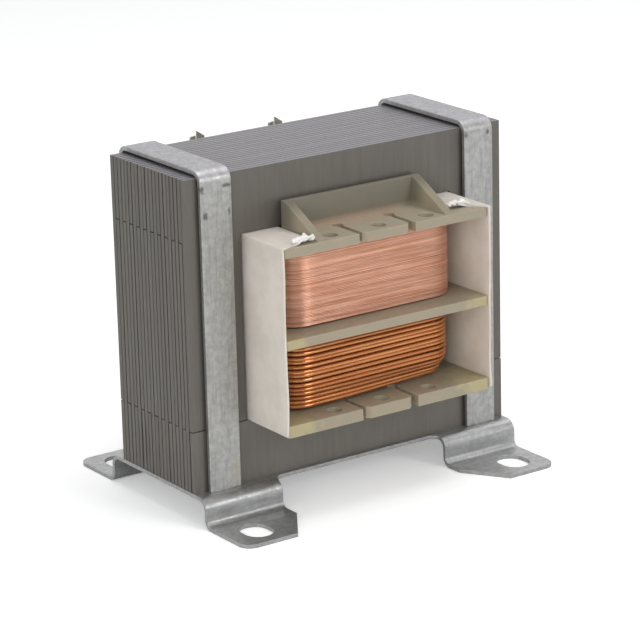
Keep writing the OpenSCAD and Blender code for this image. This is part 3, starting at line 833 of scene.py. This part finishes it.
def wire_end(name, points, thickness, finish):
    curve = bpy.data.curves.new(name, "CURVE")
    curve.dimensions, curve.bevel_depth, curve.bevel_resolution = "3D", thickness / 2, 3
    curve.use_fill_caps, curve.resolution_u = True, 6
    spline = curve.splines.new("BEZIER")
    spline.bezier_points.add(len(points) - 1)
    for knot, point in zip(spline.bezier_points, points):
        knot.co = point
        knot.handle_left_type = knot.handle_right_type = "AUTO"
    piece = new_piece(name, curve)
    graph = bpy.context.evaluated_depsgraph_get()
    mesh = bpy.data.meshes.new_from_object(piece.evaluated_get(graph))
    bpy.data.objects.remove(piece)
    mesh.materials.clear()
    mesh.materials.append(finish)
    return new_piece(name, mesh)


def tag_wrap(side, height, rise, thickness):
    """Points once round a tag's foot, climbing a little."""
    x, reach_x, reach_y = side * TAG_X, 2.2 * MM + thickness * 0.6, 0.25 * MM + thickness * 0.6
    middle = TAG_Y + 0.25 * MM
    corners = ((-1, -1), (1, -1), (1, 1), (-1, 1), (-1, -1), (0.6, -1))
    return [(x + side * reach_x * dx, middle + reach_y * dy, height + rise * i / 5)
            for i, (dx, dy) in enumerate(corners)]


for side, word in ((-1, "left"), (1, "right")):
    for row, finish, wire, start_z, out_z, way, slot in (
            ("upper", fine_copper, 0.5 * MM, UP_Z1, FLANGE_TOP, 1, "fine_wire"),
            ("lower", heavy_copper, 1.0 * MM, LOW_Z0, bobbin_low[2], -1, "heavy_wire")):
        leave_y = COIL_Y + (0.6 if row == "upper" else 0.2) * MM
        points = [(side * NOTCH_X * 0.9, leave_y - 3.5 * MM, start_z - way * 3 * MM),
                  (side * NOTCH_X, leave_y, start_z - way * 1.2 * MM),
                  (side * NOTCH_X, leave_y + 0.2 * MM, out_z + way * 0.6 * MM)]
        points += tag_wrap(side, out_z + way * 2.2 * MM, way * 1.2 * MM, wire)
        hand_over(wire_end(f"{row}_wire_end_{word}", points, wire, finish), slot, f"{row}_winding")

# %% [markdown]
# ## Insulation cards
#
# A folded card keeps each coil off the core's leg. Its side panel stands between the flanges and the
# steel, and a flap lies over the top flange. The card is cut by hand, so its free edges are a little
# wavy, and at the front the flap was torn away and stands up in shreds. The card is a grid bent round
# the fold, nudged by noise where nothing holds it, then given its thickness by Solidify. The torn
# end is a second grid in the same mesh: a roll of card that goes forward, up and back, and is
# crumpled more and more towards its loose edge.

# %% A folded card with a torn flap
CARD_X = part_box("insulation_card_right")[1][0] - CARD_T
CARD_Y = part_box("insulation_card_right")[1][1]
CARD_Z0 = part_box("insulation_card_right")[0][2]
FOLD_R = 0.5 * MM
FLAP_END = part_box("insulation_card_right")[0][0] + 0.1 * MM


def card_profile():
    """Distances along the card's outside: up the panel, round the fold, in over the flange."""
    x, z = CARD_X + CARD_T, FLANGE_TOP + CARD_T
    panel = [(x, CARD_Z0 + (z - FOLD_R - CARD_Z0) * i / 24) for i in range(25)]
    turns = [math.radians(a) for a in (22, 45, 68, 90)]
    fold = [(x - FOLD_R + FOLD_R * math.cos(a), z - FOLD_R + FOLD_R * math.sin(a)) for a in turns]
    flap = [(x - FOLD_R - (x - FOLD_R - FLAP_END) * i / 14, z) for i in range(1, 15)]
    return panel + fold + flap


def torn_edge(x, side):
    """How far back the flap is torn away at this distance from the middle."""
    inwards = max(0.0, CARD_X - x)
    ragged = noise.noise(Vector((x * 900, side * 7.0, 3.0)))
    deep = 1.2 if side < 0 else 4.0
    return -CARD_Y + min(1.0, inwards / (4 * MM)) * (deep + 0.8 * ragged) * MM


def torn_curl(shape, torn, side):
    """A crumpled roll of torn card at the end of the flap: forward, up and back over itself."""
    rolls = []
    for i in range(19):
        x = (27.5 - 6.0 * i / 18) * MM
        ends = math.sin(math.pi * (i + 1.5) / 21) ** 0.5
        radius = (0.75 + 0.45 * noise.noise(Vector((x * 700, side * 3.0, 1.0)))) * MM * ends
        start = torn_edge(x, side) + radius
        roll = []
        for j in range(15):
            angle = math.radians(-10 + 17 * j)
            spot = Vector((x, start - radius * math.sin(angle),
                           FLANGE_TOP + 0.55 * MM + radius * (1 - math.cos(angle))))
            crumple = noise.noise_vector(spot * 650 + Vector((side * 9.0, 0, 0))) * 0.45 * MM * (j / 14)
            spot += Vector((crumple.x, crumple.y, abs(crumple.z)))
            vertex = shape.verts.new((side * spot.x, max(spot.y, -CARD_Y), spot.z))
            vertex[torn] = min(1.0, j / 4)
            roll.append(vertex)
        rolls.append(roll)
    for i in range(18):
        for j in range(14):
            shape.faces.new((rolls[i][j], rolls[i][j + 1], rolls[i + 1][j + 1], rolls[i + 1][j]))


def card_mesh(side, name):
    shape = bmesh.new()
    torn = shape.verts.layers.float.new("torn")
    profile, rows, grid = card_profile(), 72, []
    for j in range(rows + 1):
        y = -CARD_Y + 2 * CARD_Y * j / rows
        line = []
        for x, z in profile:
            on_flap = z > FLANGE_TOP + CARD_T * 0.9
            at_y = max(y, torn_edge(x, side)) if on_flap else y
            free = max(0.0, (abs(at_y) - CORE_BACK - 2 * MM) / (14 * MM))
            wave = noise.noise(Vector((at_y * 55, z * 75, side * 5.0)))
            away = wave * 0.45 * MM * free if not on_flap else 0.0
            lift = 0.0
            if on_flap and at_y < -CORE_BACK:
                near = max(0.0, 1 - (at_y - torn_edge(x, side)) / (2.2 * MM))
                inwards = max(0.0, min(1.0, (CARD_X - 4 * MM - x) / (3 * MM)))
                lift = near ** 2 * inwards * (1.2 + 1.5 * noise.noise(Vector((x * 1500, 2.0, side)))) * MM
            vertex = shape.verts.new((side * (x + away), at_y, z + max(0.0, lift)))
            vertex[torn] = min(1.0, lift / (0.5 * MM))
            line.append(vertex)
        grid.append(line)
    for j in range(rows):
        for i in range(len(profile) - 1):
            shape.faces.new((grid[j][i], grid[j][i + 1], grid[j + 1][i + 1], grid[j + 1][i]))
    torn_curl(shape, torn, side)
    bmesh.ops.remove_doubles(shape, verts=shape.verts, dist=0.003 * MM)
    bmesh.ops.recalc_face_normals(shape, faces=shape.faces)
    if sum(face.normal.x * side for face in shape.faces) < 0:
        bmesh.ops.reverse_faces(shape, faces=shape.faces)
    mesh = bpy.data.meshes.new(name)
    shape.to_mesh(mesh)
    shape.free()
    mesh.materials.append(card_finish)
    return mesh


for side, word in ((-1, "left"), (1, "right")):
    card = new_piece(f"folded_card_{word}", card_mesh(side, f"folded_card_{word}"))
    wall = card.modifiers.new("thickness of the card", "SOLIDIFY")
    wall.thickness, wall.offset = CARD_T, -1.0
    make_plain(card)
    card.data.shade_smooth()
    card.data.set_sharp_from_angle(angle=math.radians(40))
    hand_over(card, "card", f"insulation_card_{word}")

# %% [markdown]
# ## Studio
#
# The floor and the world are pale, and soft lamps stand above, in front and at the side. Light Path
# lets the camera and mirror-like reflections see a plain white, while the light that falls on the
# object stays at a plain level.

# %% White world, with a lighter backdrop behind the object
scene = bpy.context.scene
scene.view_settings.view_transform = "Standard"
world = bpy.data.worlds.new("studio")
world.use_nodes = True
scene.world = world
tree = world.node_tree
tree.nodes.clear()
towards = add(tree, "ShaderNodeTexCoord").outputs["Generated"]
behind = add(tree, "ShaderNodeVectorMath", {0: towards, 1: (0.45, 0.8, 0.4)}, operation="DOT_PRODUCT")
level = eased(tree, behind.outputs["Value"], -0.7, 0.8, 0.30, 1.0)
ray = add(tree, "ShaderNodeLightPath").outputs
sees_white = maths(tree, "MAXIMUM", ray["Is Camera Ray"], ray["Is Transmission Ray"])
dim = add(tree, "ShaderNodeBackground", {"Color": (0.97, 0.985, 1.0, 1), "Strength": 0.42})
glossy = add(tree, "ShaderNodeBackground", {"Color": (1, 1, 1, 1), "Strength": level})
white = add(tree, "ShaderNodeBackground", {"Color": (1, 1, 1, 1), "Strength": 1.0})
first = add(tree, "ShaderNodeMixShader", {0: ray["Is Glossy Ray"], 1: dim.outputs[0], 2: glossy.outputs[0]})
second = add(tree, "ShaderNodeMixShader", {0: sees_white, 1: first.outputs[0], 2: white.outputs[0]})
add(tree, "ShaderNodeOutputWorld", {"Surface": second.outputs[0]})
print("world:", world.name)

# %% Pale floor
floor_mesh = bpy.data.meshes.new("floor")
edge = 3.0
floor_mesh.from_pydata([(-edge, -edge, 0), (edge, -edge, 0), (edge, edge, 0), (-edge, edge, 0)], [],
                       [(0, 1, 2, 3)])
floor = new_piece("floor", floor_mesh)
paint = bpy.data.materials.new("floor_paint")
paint.use_nodes = True
tree = paint.node_tree
shader = tree.nodes["Principled BSDF"]
shader.inputs["Base Color"].default_value = (0.9, 0.9, 0.9, 1)
shader.inputs["Roughness"].default_value = 0.9
ray = add(tree, "ShaderNodeLightPath").outputs
glow = add(tree, "ShaderNodeEmission", {"Color": (1, 1, 1, 1), "Strength": 0.30})
shine = add(tree, "ShaderNodeMixShader", {0: ray["Is Camera Ray"]})
both = add(tree, "ShaderNodeAddShader", {0: shader.outputs[0], 1: glow.outputs[0]})
tree.links.new(shader.outputs[0], shine.inputs[1])
tree.links.new(both.outputs[0], shine.inputs[2])
tree.links.new(shine.outputs[0], tree.nodes["Material Output"].inputs["Surface"])
floor_mesh.materials.append(paint)
print("floor ready")


# %% Soft lamps
def lamp(name, place, power, size, aim=(0, 0, 0.045)):
    """A square softbox at a place, turned to face the object."""
    light = bpy.data.lights.new(name, "AREA")
    light.energy, light.size = power, size
    box = bpy.data.objects.new(name, light)
    scene.collection.objects.link(box)
    box.location = place
    box.rotation_mode = "QUATERNION"
    box.rotation_quaternion = (Vector(aim) - Vector(place)).to_track_quat("-Z", "Y")
    return box


lamp("softbox_above", (0.15, -0.05, 1.1), 5.5, 0.8)
lamp("softbox_front", (0.36, -1.0, 0.5), 2.8, 0.34)
lamp("softbox_side", (-1.0, -0.2, 0.35), 2.2, 0.7)
fill = lamp("fill", (-0.72, -0.95, 0.42), 4.6, 0.9)
fill.visible_glossy = False
print("four lamps")

# %% [markdown]
# ## Camera
#
# A long lens stands about 78 cm away, a third of the way round to the left and a little above.

# %% Point the camera
CAMERA_AT = Vector((-421.17, -617.74, 269.44)) * MM
CAMERA_AIM = Vector((2.44, 0, 39.01)) * MM
CAMERA_ROLL = math.radians(-1.46)
lens = bpy.data.cameras.new("long_lens")
lens.lens, lens.sensor_width = 171.2, 36.0
lens.clip_start, lens.clip_end = 0.05, 20.0
camera = bpy.data.objects.new("camera", lens)
scene.collection.objects.link(camera)
camera.location = CAMERA_AT
camera.rotation_mode = "QUATERNION"
looking = (CAMERA_AIM - CAMERA_AT).to_track_quat("-Z", "Y").to_matrix()
camera.rotation_quaternion = (looking @ Matrix.Rotation(CAMERA_ROLL, 3, "Z")).to_quaternion()
scene.camera = camera
print("camera", [round(v, 3) for v in camera.location])

# %% Update the scene
bpy.context.view_layer.update()
